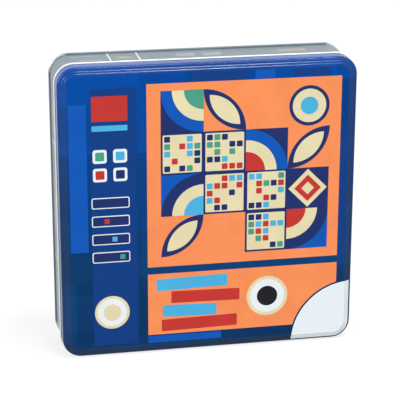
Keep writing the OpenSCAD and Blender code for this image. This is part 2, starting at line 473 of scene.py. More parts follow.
@dataclass(frozen=True)
class BareTin(Finish):
    """Bare tinplate with the fine streaks of the rolling mill."""

    colour: Colour = srgb(206, 208, 208)

    def paint(self, shader: Shader) -> None:
        """Builds a metal with streaks along X."""
        streak = shader.noise(90.0, 6.0, (0.15, 6.0, 6.0))
        shader.surface.inputs["Metallic"].default_value = 1.0
        shader.colour(shader.shades(streak, self.colour, (0.3, 0.92), (0.7, 1.03)))
        shader.roughness(shader.noise(60.0, 5.0, (0.3, 4.0, 4.0)), 0.28, 0.42)
        shader.bump(streak, 0.02, 0.12)


@dataclass(frozen=True)
class MouldedPlastic(Finish):
    """A moulded or formed plastic with a fine grain."""

    colour: Colour
    low_gloss: float = 0.34
    high_gloss: float = 0.48
    grain: float = 0.25
    mottle: float = 0.12

    def paint(self, shader: Shader) -> None:
        """Builds a slightly uneven colour with a fine grain."""
        shader.colour(shader.shades(shader.noise(70.0, 4.0), self.colour,
                                    (0.3, 1 - self.mottle), (0.7, 1 + self.mottle)))
        shader.roughness(shader.noise(240.0, 3.0), self.low_gloss, self.high_gloss)
        shader.bump(shader.noise(2600.0, 2.0), 0.06, self.grain)


@dataclass(frozen=True)
class WovenCloth(Finish):
    """A plain woven cloth with crossing threads, whose width is in millimetres."""

    colour: Colour
    thread: float = 0.6

    def paint(self, shader: Shader) -> None:
        """Builds crossing threads, with painted highlight on their crests and painted shade between
        them.
        """
        scale = math.pi / (10 * self.thread * MM)
        warp = shader.math("MULTIPLY", shader.bands(scale, "X"), shader.bands(scale, "Z"))
        weave = shader.math("ADD", warp, shader.math("MULTIPLY", shader.noise(900.0, 3.0), 0.4))
        # Painted light and shade: the threads' colour follows the weave's height, lighter on the crests
        # and darker in the hollows between them.
        threads = shader.shades(weave, self.colour, (0.1, 0.7), (0.9, 1.35))
        cloud = shader.shades(shader.noise(35.0, 4.0), PURE_WHITE, (0.3, 0.86), (0.7, 1.0))
        shader.colour(shader.mix(1.0, threads, cloud, "MULTIPLY"))
        shader.surface.inputs["Roughness"].default_value = 0.9
        shader.surface.inputs["Sheen Weight"].default_value = 0.25
        shader.surface.inputs["Sheen Roughness"].default_value = 0.5
        shader.bump(weave, 0.18, 0.6)


@dataclass(frozen=True)
class CoatedPaper(Finish):
    """Smooth coated paper with a faint fibre."""

    colour: Colour = srgb(244, 243, 236)

    def paint(self, shader: Shader) -> None:
        """Builds an off-white with fine fibres."""
        shader.surface.inputs["Specular IOR Level"].default_value = 0.25
        fibre = shader.noise(700.0, 5.0, (1.0, 1.0, 0.3))
        shader.colour(shader.shades(fibre, self.colour, (0.3, 0.93), (0.7, 1.0)))
        shader.roughness(shader.noise(90.0, 3.0), 0.5, 0.65)
        shader.bump(fibre, 0.03, 0.2)


class Inks:
    """The inks of the print on the tin, the leaflet and the tiles."""

    ORANGE = PrintedInk("ink_orange", srgb(250, 146, 90))
    DEEP_BLUE = PrintedInk("ink_deep_blue", srgb(2, 58, 130))
    BRIGHT_BLUE = PrintedInk("ink_bright_blue", srgb(4, 86, 182))
    NAVY = PrintedInk("ink_navy", srgb(24, 44, 104))
    CREAM = PrintedInk("ink_cream", srgb(231, 219, 177))
    CYAN = PrintedInk("ink_cyan", srgb(76, 178, 224))
    RED = PrintedInk("ink_red", srgb(196, 54, 48))
    WHITE = PrintedInk("ink_white", srgb(236, 243, 247), mottle=0.02)
    GREEN = PrintedInk("ink_green", srgb(72, 158, 132))
    BLACK = PrintedInk("ink_black", srgb(20, 21, 26), mottle=0.2)
    PALE_GREY = PrintedInk("ink_pale_grey", srgb(146, 158, 164), mottle=0.04)
    BEIGE = PrintedInk("ink_beige", srgb(158, 150, 140), mottle=0.06)
    LETTER = PrintedInk("ink_letter", srgb(28, 27, 26), mottle=0.15)


TIN = BareTin("bare_tin")
GREY = GreyPrint("grey_print")
# White ink on the rolled hem, made near-white and glossier so that it also stands for the bright line
# of light along the roll: partly painted highlight.
HEM_WHITE_AND_HIGHLIGHT = PrintedInk("hem_white_and_highlight", srgb(246, 251, 254), mottle=0.02, gloss=0.5)
LID_FACE = LidGround("lid_face")
# The stepped rim takes a darker copy of the lid's ground: its darker blues are painted shade where the
# rim turns away from the light.
LID_RIM_SHADED = LidGround("lid_rim_shaded", gloss=0.2, smooth=0.1, top=srgb(0, 76, 164), foot=srgb(8, 58, 108))


def make_piece(mesh: bmesh.types.BMesh, name: str, finishes: Sequence[Finish],
               sharp: float = 35.0) -> bpy.types.Object:
    """Turns a finished mesh into a piece of the scene.

    Args:
        mesh: The mesh, in the row frame, which is freed.
        name: The piece's name.
        finishes: The finishes, in the order of the faces' material numbers.
        sharp: Edges that bend by more than this many degrees stay sharp.

    Returns:
        The piece's object.
    """
    data = bpy.data.meshes.new(name)
    mesh.to_mesh(data)
    mesh.free()
    data.shade_smooth()
    data.set_sharp_from_angle(angle=math.radians(sharp))
    for finish in finishes:
        data.materials.append(finish.material())
    piece = bpy.data.objects.new(name, data)
    bpy.context.scene.collection.objects.link(piece)
    return piece


def mount(piece: bpy.types.Object, body: Body | str, slot: Slot, *nodes: str) -> None:
    """Lets a piece ride on a body and stand for CAD nodes, and reports it.

    Args:
        piece: The piece.
        body: The body that it rides on.
        slot: The record's slot for the piece, which is not used.
        nodes: The CAD nodes that it stands for.
    """
    name = body.value if isinstance(body, Body) else body
    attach(piece, name)
    if nodes:
        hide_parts(*nodes)
    log.info("%s rides on %s, %d faces", piece.name, name, len(piece.data.polygons))


def arc(centre: Point, radius: float, start: float, end: float, steps: int) -> list[Point]:
    """Gives points on an arc.

    Args:
        centre: The arc's centre.
        radius: Its radius.
        start: The first point's angle in degrees.
        end: The last point's angle in degrees.
        steps: The number of steps between them.

    Returns:
        The points, with both ends.
    """
    turns = [math.radians(start + (end - start) * i / steps) for i in range(steps + 1)]
    return [(centre[0] + radius * math.cos(t), centre[1] + radius * math.sin(t)) for t in turns]


def roll(centre: Point, diameter: float, sides: int = 12) -> list[Point]:
    """Gives the section of a rolled edge.

    Args:
        centre: The roll's centre.
        diameter: Its diameter.
        sides: The number of its flats.

    Returns:
        The points of a ring, each once.
    """
    return arc(centre, diameter / 2, 0, 360 - 360 / sides, sides - 1)


def block(width: float, height: float, radius: float = 0.0, steps: int = 6) -> list[Point]:
    """Gives the outline of a block about its middle.

    Args:
        width: Its width.
        height: Its height.
        radius: The radius of its corners, or 0 for sharp ones.
        steps: The steps round a corner.

    Returns:
        The outline, counter-clockwise.
    """
    x, y = width / 2 - radius, height / 2 - radius
    if radius == 0:
        return [(-x, -y), (x, -y), (x, y), (-x, y)]
    corners = (((x, -y), -90), ((x, y), 0), ((-x, y), 90), ((-x, -y), 180))
    return [point for centre, start in corners
            for point in arc(centre, radius, start, start + 90, steps)]


def raise_face(mesh: bmesh.types.BMesh, face: bmesh.types.BMFace,
               way: Vector) -> bmesh.types.BMFace:
    """Extrudes a face along a vector.

    Args:
        mesh: The mesh.
        face: The face.
        way: How far and which way it goes.

    Returns:
        The face at the far end.
    """
    made = bmesh.ops.extrude_face_region(mesh, geom=[face])["geom"]
    verts = [item for item in made if isinstance(item, bmesh.types.BMVert)]
    bmesh.ops.translate(mesh, verts=verts, vec=way)
    return next(item for item in made if isinstance(item, bmesh.types.BMFace))


def new_row(mesh: bmesh.types.BMesh, edges: Sequence[bmesh.types.BMEdge]
            ) -> tuple[list[bmesh.types.BMVert], list[bmesh.types.BMEdge]]:
    """Extrudes edges into a new row of faces, which has no width yet.

    Args:
        mesh: The mesh.
        edges: The edges.

    Returns:
        The points and the edges on the far side of the row.
    """
    made = bmesh.ops.extrude_edge_only(mesh, edges=edges)["geom"]
    return ([item for item in made if isinstance(item, bmesh.types.BMVert)],
            [item for item in made if isinstance(item, bmesh.types.BMEdge)])


def soft_step(foot: Point, width: float, height: float, steps: int = 8) -> list[Point]:
    """Gives points on a soft step that goes inwards and up from its foot.

    Args:
        foot: Where the step starts.
        width: How far it goes inwards.
        height: How far it goes up.
        steps: The number of points.

    Returns:
        The points after the foot.
    """
    shares = [i / steps for i in range(1, steps + 1)]
    return [(foot[0] - width * t, foot[1] + height * t * t * (3 - 2 * t)) for t in shares]


@dataclass(frozen=True)
class SquareSweep:
    """A square with round corners, round which a section is swept."""

    half: float = 118.9
    radius: float = 14.9
    corner_steps: int = 14
    weld: float = 0.001

    def sweep(self, mesh: bmesh.types.BMesh, section: Sequence[Point], ring: bool) -> None:
        """Sweeps a section once round the square.

        Args:
            mesh: The mesh that takes the faces.
            section: Points as distance outwards from the square, and height.
            ring: True where the section closes on itself.
        """
        reach = self.half - self.radius
        points = [mesh.verts.new((self.half + out, -reach, up)) for out, up in section]
        pairs = list(zip(points, points[1:] + points[:1] if ring else points[1:]))
        edges = [mesh.edges.new(pair) for pair in pairs]
        for side in range(4):
            turn = Matrix.Rotation(side * math.pi / 2, 3, "Z")
            verts, edges = new_row(mesh, edges)
            bmesh.ops.translate(mesh, verts=verts, vec=turn @ Vector((0.0, 2 * reach, 0.0)))
            last = bmesh.ops.spin(
                mesh, geom=verts + edges, cent=turn @ Vector((reach, reach, 0.0)),
                axis=(0.0, 0.0, 1.0), angle=math.pi / 2, steps=self.corner_steps,
                use_merge=False, use_duplicate=False)["geom_last"]
            edges = [item for item in last if isinstance(item, bmesh.types.BMEdge)]
        bmesh.ops.remove_doubles(mesh, verts=mesh.verts, dist=self.weld)

    def close(self, mesh: bmesh.types.BMesh, height: float) -> None:
        """Fills the open loop that lies at a height.

        Args:
            mesh: The mesh.
            height: The height of the loop.
        """
        rim = [e for e in mesh.edges
               if e.is_boundary and all(abs(v.co.z - height) < self.weld for v in e.verts)]
        bmesh.ops.contextual_create(mesh, geom=rim)


def settle(mesh: bmesh.types.BMesh, outside: bmesh.types.BMFace | None = None) -> None:
    """Makes all faces point the same way, out of the piece, and stands the piece up.

    Args:
        mesh: The mesh in the lying frame.
        outside: A face of an open sheet that has to point upwards, or None for a closed mesh.
    """
    bmesh.ops.recalc_face_normals(mesh, faces=mesh.faces)
    if outside is not None and outside.normal.z < 0:
        bmesh.ops.reverse_faces(mesh, faces=mesh.faces)
    bmesh.ops.transform(mesh, matrix=STAND, verts=mesh.verts)


def give_wall(piece: bpy.types.Object, thickness: float, inside: int = 0) -> None:
    """Gives an open sheet its thickness, inwards from its outer face.

    Args:
        piece: The piece.
        thickness: The thickness in millimetres.
        inside: How much higher the material number of the inner face is.
    """
    wall = piece.modifiers.new("wall", "SOLIDIFY")
    wall.thickness = thickness * MM
    wall.offset = -1.0
    wall.use_even_offset = True
    wall.material_offset = inside


@dataclass
class Lid:
    """The slip lid: a drawn sheet with a stepped rim round its face, and a rolled hem."""

    depth: float = 15.0
    sheet: float = 0.35
    hem: float = 1.4
    hem_out: float = 1.1
    shoulder: float = 1.8
    ledge: float = 0.8
    step: float = 1.0
    rise: float = 0.7
    steps: int = 2
    loops_up: Point = (2.0, 1.0)
    loops_in: tuple[float, ...] = (0.5, 1.0, 2.0)
    square: SquareSweep = field(default_factory=SquareSweep)

    def section(self) -> list[Point]:
        """Gives the outer face's section, from the foot of the skirt to the flat face."""
        top = TIN_D - self.steps * self.rise
        foot = TIN_D - self.depth + self.hem / 2
        turn = top - self.shoulder
        points = [(0.0, foot), (0.0, foot + self.loops_up[0]), (0.0, turn - self.loops_up[1])]
        points += arc((-self.shoulder, turn), self.shoulder, 0, 90, 10)
        out, up = points[-1]
        for _ in range(self.steps):
            out -= self.ledge
            points += [(out + self.ledge / 2, up), (out, up)]
            points += soft_step((out, up), self.step, self.rise)
            out, up = points[-1]
        return points + [(out - share * self.ledge, up) for share in self.loops_in]

    def build_shell(self) -> bpy.types.Object:
        """Builds the printed sheet."""
        mesh = bmesh.new()
        self.square.sweep(mesh, self.section(), ring=False)
        self.square.close(mesh, TIN_D)
        face = max(mesh.faces, key=lambda f: f.calc_area())
        settle(mesh, face)
        for part in mesh.faces:
            part.material_index = 0 if part is face else 2
        piece = make_piece(mesh, "lid_shell", [LID_FACE, TIN, LID_RIM_SHADED, TIN], sharp=50.0)
        give_wall(piece, self.sheet, inside=1)
        return piece

    def build_hem(self) -> bpy.types.Object:
        """Builds the hem that is rolled outwards round the foot of the skirt."""
        mesh = bmesh.new()
        centre = (self.hem_out - self.hem / 2, TIN_D - self.depth + self.hem / 2)
        self.square.sweep(mesh, roll(centre, self.hem), ring=True)
        settle(mesh)
        return make_piece(mesh, "lid_hem", [HEM_WHITE_AND_HIGHLIGHT])

    def build(self) -> None:
        """Builds the lid and mounts it."""
        mount(self.build_shell(), Body.LID, Slot.PRINTED, "lid")
        mount(self.build_hem(), Body.LID, Slot.PRINTED)


class Motif(Enum):
    """The plain shapes that fill the cells of the print's mosaic."""

    QUARTER = "quarter disc"
    DISC = "disc"
    LEAF = "leaf"
    CHECKS = "small squares"
    FRAME = "square in a square"
    BARE = "nothing"


@dataclass(frozen=True)
class Patch:
    """A rectangle of the print, in millimetres.

    Attributes:
        x: Its middle across the face.
        y: Its middle up the face.
        width: Its width.
        height: Its height.
        turn: How far it is turned, in degrees.
    """

    x: float
    y: float
    width: float
    height: float
    turn: float = 0.0


@dataclass
class LidPrint:
    """The print on the lid's face: plain panels, strips and a mosaic of simple shapes."""

    film: float = 0.05
    deep_patches: Sequence[Patch] = (
        Patch(-76.0, -4.0, 36.0, 212.0), Patch(8.0, 108.0, 44.0, 7.0),
        Patch(82.0, 108.4, 30.0, 6.4), Patch(109.4, 6.0, 6.4, 120.0))
    bright_patches: Sequence[Patch] = (
        Patch(-104.0, 30.0, 14.0, 120.0), Patch(-20.0, -108.0, 60.0, 6.0),
        Patch(44.0, 108.0, 16.0, 7.0))
    upper_panel: Patch = Patch(28.0, 29.0, 156.0, 150.0)
    lower_sides: Point = (-50.0, 106.0)
    lower_ends: Point = (-104.0, -52.0)
    corner_size: float = 51.5
    strip_patches: Sequence[tuple[PrintedInk, Patch]] = (
        (Inks.CYAN, Patch(-14.0, -61.0, 58.0, 10.0, 1.5)),
        (Inks.RED, Patch(-3.0, -73.0, 56.0, 10.0, -1.0)),
        (Inks.CYAN, Patch(-16.0, -84.5, 44.0, 10.0, -1.5)),
        (Inks.RED, Patch(-8.0, -96.0, 62.0, 10.0, 1.0)))
    badge_at: Point = (48.0, -77.0)
    badge_radius: float = 17.0
    red_block: Patch = Patch(-79.0, 86.0, 28.0, 20.0)
    cyan_bar: Patch = Patch(-79.0, 70.5, 28.0, 4.5)
    column_x: float = -79.0
    column_pitch: float = 15.0
    marks_y: float = 48.0
    marks_apart: float = 16.0
    mark_size: Point = (11.0, 11.0)
    slots_y: float = 10.0
    slot_size: Point = (30.0, 9.0)
    dots_from: float = -9.0
    dots_apart: float = 6.0
    dot_size: Point = (4.0, 4.0)
    seal_y: float = -82.0
    seal_radius: float = 14.0
    cell: float = 34.0
    checks_a_side: int = 5
    checks_edge: float = 1.5
    checks_margin: float = 2.0
    check_share: float = 0.78
    mosaic_at: Point = (-39.0, -38.0)
    rows: Sequence[Sequence[tuple[Motif, int]]] = (
        ((Motif.QUARTER, 2), (Motif.LEAF, 1), (Motif.BARE, 0), (Motif.DISC, 0)),
        ((Motif.CHECKS, 0), (Motif.CHECKS, 0), (Motif.QUARTER, 0), (Motif.LEAF, 0)),
        ((Motif.QUARTER, 1), (Motif.CHECKS, 0), (Motif.CHECKS, 0), (Motif.FRAME, 0)),
        ((Motif.LEAF, 0), (Motif.BARE, 0), (Motif.CHECKS, 0), (Motif.QUARTER, 3)),
    )
    meshes: dict[PrintedInk, bmesh.types.BMesh] = field(default_factory=dict)
    chance: random.Random = field(default_factory=lambda: random.Random(11))

    def lay(self, ink: PrintedInk, outline: Iterable[Point], layer: int,
            at: Point = (0.0, 0.0), turn: float = 0.0) -> None:
        """Lays a closed film of ink on the lid's face.

        Args:
            ink: The ink.
            outline: The film's outline, counter-clockwise.
            layer: Which layer it is, counted from the lowest.
            at: Where the outline's origin comes on the face.
            turn: How far the outline is turned, in degrees.
        """
        mesh = self.meshes.setdefault(ink, bmesh.new())
        place = Matrix.Translation((*at, 0.0)) @ Matrix.Rotation(math.radians(turn), 4, "Z")
        low = TIN_D - self.film
        points = [mesh.verts.new(place @ Vector((x, y, low))) for x, y in outline]
        raise_face(mesh, mesh.faces.new(points), Vector((0.0, 0.0, self.film * (layer + 2))))

    def lay_patch(self, ink: PrintedInk, patch: Patch, layer: int, radius: float = 0.0) -> None:
        """Lays a rectangle.

        Args:
            ink: The ink.
            patch: The rectangle.
            layer: Which layer it is, counted from the lowest.
            radius: The radius of its corners.
        """
        self.lay(ink, block(patch.width, patch.height, radius), layer, (patch.x, patch.y), patch.turn)

    def pile(self, shapes: Iterable[tuple[PrintedInk, list[Point]]], lowest: int, at: Point,
             turn: float = 0.0) -> None:
        """Lays shapes on each other, each one layer higher than the last.

        Args:
            shapes: Their inks and outlines, from the lowest.
            lowest: The lowest one's layer.
            at: Where their origin comes on the face.
            turn: How far they are turned, in degrees.
        """
        for layer, (ink, outline) in enumerate(shapes, lowest):
            self.lay(ink, outline, layer, at, turn)

    @staticmethod
    def disc(radius: float, sides: int = 48) -> list[Point]:
        """Gives the outline of a disc.

        Args:
            radius: Its radius.
            sides: The number of its flats.

        Returns:
            The outline, counter-clockwise.
        """
        return arc((0.0, 0.0), radius, 0, 360 - 360 / sides, sides - 1)

    def tones(self) -> None:
        """Lays the darker and lighter blue patches on the ground."""
        for ink, patches in ((Inks.DEEP_BLUE, self.deep_patches),
                             (Inks.BRIGHT_BLUE, self.bright_patches)):
            for patch in patches:
                self.lay_patch(ink, patch, 0, 0.4)

    def panels(self) -> None:
        """Lays the orange panels, the lower one cut round the pale corner."""
        self.lay_patch(Inks.ORANGE, self.upper_panel, 0)
        (left, right), (low, high) = self.lower_sides, self.lower_ends
        corner, size = SquareSweep.half, self.corner_size
        first = 180 - math.degrees(math.asin((low + corner) / size))
        last = 90 + math.degrees(math.asin((corner - right) / size))
        cut = arc((corner, -corner), size, first, last, 30)
        self.lay(Inks.ORANGE, [(left, low), *cut, (right, high), (left, high)], 0)

    def quarter(self, at: Point, kind: int) -> None:
        """Draws a quarter disc with two bands.

        Args:
            at: The middle of the cell.
            kind: How many quarters it is turned.
        """
        half = self.cell / 2
        ground, fan = (Inks.BRIGHT_BLUE, Inks.NAVY) if kind % 2 else (Inks.NAVY, Inks.BRIGHT_BLUE)
        heart = (Inks.RED, Inks.CYAN, Inks.GREEN, Inks.RED)[kind]
        self.lay(ground, block(self.cell, self.cell), 2, at)
        fans = [(ink, [(-half, -half), *arc((-half, -half), self.cell * share, 0, 90, 20)])
                for share, ink in ((1.0, fan), (0.74, Inks.CREAM), (0.46, heart))]
        self.pile(fans, 3, at, kind * 90.0)

    def target(self, at: Point, _: int) -> None:
        """Draws discs in each other.

        Args:
            at: The middle of the cell.
            _: Not used, since the motif looks the same from each side.
        """
        shares = ((0.96, Inks.NAVY), (0.8, Inks.CREAM), (0.42, Inks.CYAN))
        self.pile([(ink, self.disc(self.cell / 2 * share)) for share, ink in shares], 2, at)

    def leaf(self, at: Point, kind: int) -> None:
        """Draws a pointed leaf.

        Args:
            at: The middle of the cell.
            kind: How many quarters it is turned.
        """
        half, slim = self.cell / 2, 0.72
        outline = arc((-half, half), self.cell, -90, 0, 16)
        outline += arc((half, -half), self.cell, 90, 180, 16)[:-1]
        self.lay(Inks.NAVY, outline, 2, at, kind * 90.0)
        self.lay(Inks.CREAM, [(x * slim, y * slim) for x, y in outline], 3, at, kind * 90.0)

    def lozenge(self, at: Point, _: int) -> None:
        """Draws squares in each other that stand on a corner, on a navy cell.

        Args:
            at: The middle of the cell.
            _: Not used, since the motif looks the same from each side.
        """
        self.lay(Inks.NAVY, block(self.cell, self.cell), 2, at)
        sides = ((0.66, Inks.CREAM), (0.46, Inks.RED), (0.22, Inks.CREAM))
        self.pile([(ink, block(self.cell * share, self.cell * share)) for share, ink in sides],
                  3, at, 45.0)

    def checks(self, at: Point, _: int) -> None:
        """Draws small squares, of which some are coloured by chance, on a cream cell.

        Args:
            at: The middle of the cell.
            _: Not used, since chance makes each cell differ.
        """
        self.lay(Inks.NAVY, block(self.cell, self.cell), 2, at)
        inner = self.cell - 2 * self.checks_edge
        self.lay(Inks.CREAM, block(inner, inner, 1.0), 3, at)
        count = self.checks_a_side
        pitch = (self.cell - 2 * self.checks_margin) / count
        size = pitch * self.check_share
        palette = [Inks.CYAN, Inks.RED, Inks.GREEN, Inks.NAVY, None, None, None, None]
        for row in range(count):
            for column in range(count):
                ink = self.chance.choice(palette)
                if ink is not None:
                    spot = (at[0] + (column - (count - 1) / 2) * pitch,
                            at[1] + (row - (count - 1) / 2) * pitch)
                    self.lay(ink, block(size, size, 0.7), 4, spot)

    def mosaic(self) -> None:
        """Lays the mosaic on the upper panel."""
        draw = {Motif.QUARTER: self.quarter, Motif.DISC: self.target, Motif.LEAF: self.leaf,
                Motif.FRAME: self.lozenge, Motif.CHECKS: self.checks}
        x, y = self.mosaic_at
        for row, cells in enumerate(reversed(self.rows)):
            for column, (motif, kind) in enumerate(cells):
                if motif is not Motif.BARE:
                    at = (x + (column + 0.5) * self.cell, y + (row + 0.5) * self.cell)
                    draw[motif](at, kind)

    def strips(self) -> None:
        """Lays the blank strips on the lower panel."""
        for ink, patch in self.strip_patches:
            self.lay_patch(ink, patch, 1, 0.6)

    def badge(self, at: Point, radius: float, heart: PrintedInk) -> None:
        """Lays a white disc with a cream rim and a plain shape in its middle.

        Args:
            at: The disc's middle.
            radius: Its radius.
            heart: The ink of the shape in its middle.
        """
        shares = ((1.0, Inks.CREAM), (0.84, Inks.WHITE), (0.5, heart))
        self.pile([(ink, self.disc(radius * share)) for share, ink in shares], 1, at)

    def framed(self, ink: PrintedInk, patch: Patch, edge: float, radii: Point) -> None:
        """Lays a block with a white frame.

        Args:
            ink: The block's ink.
            patch: The frame's outside.
            edge: The frame's width.
            radii: The radius of the corners of the frame, and of the block in it.
        """
        self.lay_patch(Inks.WHITE, patch, 1, radii[0])
        inner = Patch(patch.x, patch.y, patch.width - 2 * edge, patch.height - 2 * edge)
        self.lay_patch(ink, inner, 2, radii[1])

    def column(self) -> None:
        """Lays the small plain marks down the blue margin on the left."""
        x, pitch = self.column_x, self.column_pitch
        self.lay_patch(Inks.RED, self.red_block, 1, 0.5)
        self.lay_patch(Inks.CYAN, self.cyan_bar, 1, 0.4)
        self.badge((x, self.seal_y), self.seal_radius, Inks.CREAM)
        hearts = (Inks.GREEN, Inks.CYAN, Inks.RED, Inks.NAVY)
        for i, ink in enumerate(hearts):
            at = (x + self.marks_apart * (i % 2 - 0.5), self.marks_y - pitch * (i // 2))
            self.framed(ink, Patch(*at, *self.mark_size), 2.0, (2.0, 1.0))
        for i, ink in enumerate(reversed(hearts)):
            y = self.slots_y - pitch * i
            self.framed(Inks.NAVY, Patch(x, y, *self.slot_size), 0.8, (1.5, 1.0))
            dot_x = x + self.dots_from + self.dots_apart * i
            self.lay_patch(ink, Patch(dot_x, y, *self.dot_size), 3, 0.5)

    def build(self) -> None:
        """Builds the print, one piece for each ink, and mounts it on the lid."""
        self.tones()
        self.panels()
        self.mosaic()
        self.strips()
        self.column()
        self.badge(self.badge_at, self.badge_radius, Inks.BLACK)
        for ink, mesh in self.meshes.items():
            settle(mesh)
            piece = make_piece(mesh, ink.name.replace("ink", "print"), [ink])
            mount(piece, Body.LID, Slot.PRINTED)


@dataclass
class Base:
    """The base: a wall with a neck that goes up inside the lid, and a bottom seamed to it."""

    sheet: float = 0.35
    wall_foot: float = 0.6
    wall_loops: Point = (6.0, 1.4)
    bend: float = 0.6
    bend_drop: float = 0.25
    neck_up: float = 34.686
    neck_in: float = 0.85
    neck_loops: Point = (0.2, 2.4)
    rim: float = 1.4
    rim_at: Point = (-1.5, 47.25)
    seam: float = 2.6
    seam_out: float = 1.1
    seam_play: float = 0.1
    seam_corner: float = 0.35
    grey_from: float = 0.2
    fold: float = 0.5
    fold_in: float = 0.45
    recess: float = 1.8
    panel_in: float = 7.0
    panel_rise: float = 0.6
    panel_step: float = 1.0
    panel_loop: float = 1.8
    square: SquareSweep = field(default_factory=SquareSweep)

    def build_wall(self) -> bpy.types.Object:
        """Builds the printed wall, with its sloped shoulder and its neck."""
        up, inwards = self.neck_up, self.neck_in
        section = [(0.0, self.wall_foot), (0.0, self.wall_loops[0]), (0.0, up - self.wall_loops[1])]
        section += arc((-self.bend, up - self.bend_drop), self.bend, 0, 45, 4)
        section += [(-inwards, up + inwards + self.neck_loops[0]),
                    (-inwards, up + self.neck_loops[1]), (-inwards, self.rim_at[1])]
        mesh = bmesh.new()
        self.square.sweep(mesh, section, ring=False)
        outer = max(mesh.faces, key=lambda f: abs(f.normal.x) * f.calc_area())
        bmesh.ops.recalc_face_normals(mesh, faces=mesh.faces)
        outer.normal_update()
        if outer.normal.x * outer.calc_center_median().x < 0:
            bmesh.ops.reverse_faces(mesh, faces=mesh.faces)
        bmesh.ops.transform(mesh, matrix=STAND, verts=mesh.verts)
        piece = make_piece(mesh, "base_wall_shell", [GREY, TIN], sharp=50.0)
        give_wall(piece, self.sheet, inside=1)
        return piece

    def build_rim(self) -> bpy.types.Object:
        """Builds the rim that is rolled inwards round the mouth."""
        mesh = bmesh.new()
        self.square.sweep(mesh, roll(self.rim_at, self.rim), ring=True)
        settle(mesh)
        return make_piece(mesh, "base_rim", [TIN])

    def build_bottom(self) -> bpy.types.Object:
        """Builds the bottom with its raised panel and the seam folded round the wall."""
        top = self.recess + self.sheet
        flat = self.panel_in + self.panel_step + self.panel_loop
        start = (-self.panel_in, top)
        upper = [start, *soft_step(start, self.panel_step, self.panel_rise)]
        upper.append((-flat, top + self.panel_rise))
        lower = [(x, y - self.sheet) for x, y in upper]
        inner, play, corner = -self.fold_in, self.seam_play, self.seam_corner
        fold = [(inner, top), (inner, self.fold), (play, self.fold), (play, self.seam)]
        foot = arc((self.seam_out - corner, self.seam - corner), corner, 90, 0, 4)
        foot += arc((self.seam_out - corner, corner), corner, 0, -90, 4)
        foot += arc((inner - self.fold + corner, corner), corner, 270, 180, 4)
        foot.append((inner - self.fold, self.recess))
        mesh = bmesh.new()
        self.square.sweep(mesh, list(reversed(upper)) + fold + foot + lower, ring=False)
        for height in (upper[-1][1], lower[-1][1]):
            self.square.close(mesh, height)
        for face in mesh.faces:
            middle = face.calc_center_median()
            outwards = max(abs(middle.x), abs(middle.y)) > self.square.half + self.grey_from
            face.material_index = int(outwards)
        settle(mesh)
        return make_piece(mesh, "base_bottom_shell", [TIN, GREY], sharp=40.0)

    def build(self) -> None:
        """Builds the base and mounts it."""
        mount(self.build_wall(), Body.BASE, Slot.GREY, "base_wall")
        mount(self.build_rim(), Body.BASE, Slot.GREY)
        mount(self.build_bottom(), Body.BASE, Slot.PLAIN, "base_bottom")


class Side(Enum):
    """The sides of the wall, as quarter turns from the right one."""

    RIGHT = 0
    TOP = 1
    LEFT = 2
    FOOT = 3


@dataclass
class SidePrint:
    """The print on the wall of the base: thin dividers and plain pale patches.

    On a side, a patch's x runs along the side and its y up from the bottom of the lying tin.
    """

    film: float = 0.05
    ends: Point = (4.5, 33.6)
    line: float = 1.0
    corner: float = 1.4
    dividers: Sequence[tuple[Side, float]] = (
        (Side.TOP, 74.0), (Side.TOP, 51.0), (Side.RIGHT, -58.0), (Side.RIGHT, 30.0),
        (Side.LEFT, 44.0), (Side.LEFT, -52.0), (Side.FOOT, 20.0), (Side.FOOT, -64.0))
    pale: Sequence[tuple[Side, Patch]] = (
        (Side.TOP, Patch(93.0, 12.0, 24.0, 3.0)), (Side.TOP, Patch(90.0, 26.0, 18.0, 3.6)),
        (Side.TOP, Patch(13.5, 19.0, 15.0, 10.0)), (Side.TOP, Patch(-7.5, 20.0, 15.0, 11.0)),
        (Side.RIGHT, Patch(-4.0, 19.0, 36.0, 10.0)), (Side.LEFT, Patch(0.0, 19.0, 40.0, 9.0)),
        (Side.FOOT, Patch(-16.0, 19.0, 34.0, 10.0)))
    warm: Sequence[tuple[Side, Patch]] = (
        (Side.TOP, Patch(62.5, 20.0, 11.0, 8.0)), (Side.TOP, Patch(-72.5, 19.0, 23.0, 11.0)),
        (Side.RIGHT, Patch(64.0, 19.0, 24.0, 8.0)), (Side.LEFT, Patch(-74.0, 19.0, 22.0, 12.0)),
        (Side.FOOT, Patch(64.0, 19.0, 30.0, 9.0)))

    def lay(self, mesh: bmesh.types.BMesh, side: Side, patch: Patch, radius: float) -> None:
        """Lays a film on one side of the wall.

        Args:
            mesh: The mesh that takes the film.
            side: The side.
            patch: The film's rectangle.
            radius: The radius of its corners.
        """
        turn = Matrix.Rotation(side.value * math.pi / 2, 3, "Z")
        near = SquareSweep.half - self.film
        points = [mesh.verts.new(turn @ Vector((near, patch.x + x, patch.y + y)))
                  for x, y in block(patch.width, patch.height, radius)]
        raise_face(mesh, mesh.faces.new(points), turn @ Vector((2 * self.film, 0.0, 0.0)))

    def build(self) -> None:
        """Builds the dividers and the patches and mounts them on the base."""
        low, high = self.ends
        lines = [(side, Patch(x, (low + high) / 2, self.line, high - low))
                 for side, x in self.dividers]
        kinds = (("side_dividers", Inks.WHITE, lines, 0.0),
                 ("side_patches_pale", Inks.PALE_GREY, self.pale, self.corner),
                 ("side_patches_warm", Inks.BEIGE, self.warm, self.corner))
        for name, ink, patches, radius in kinds:
            mesh = bmesh.new()
            for side, patch in patches:
                self.lay(mesh, side, patch, radius)
            settle(mesh)
            mount(make_piece(mesh, name, [ink]), Body.BASE, Slot.GREY)


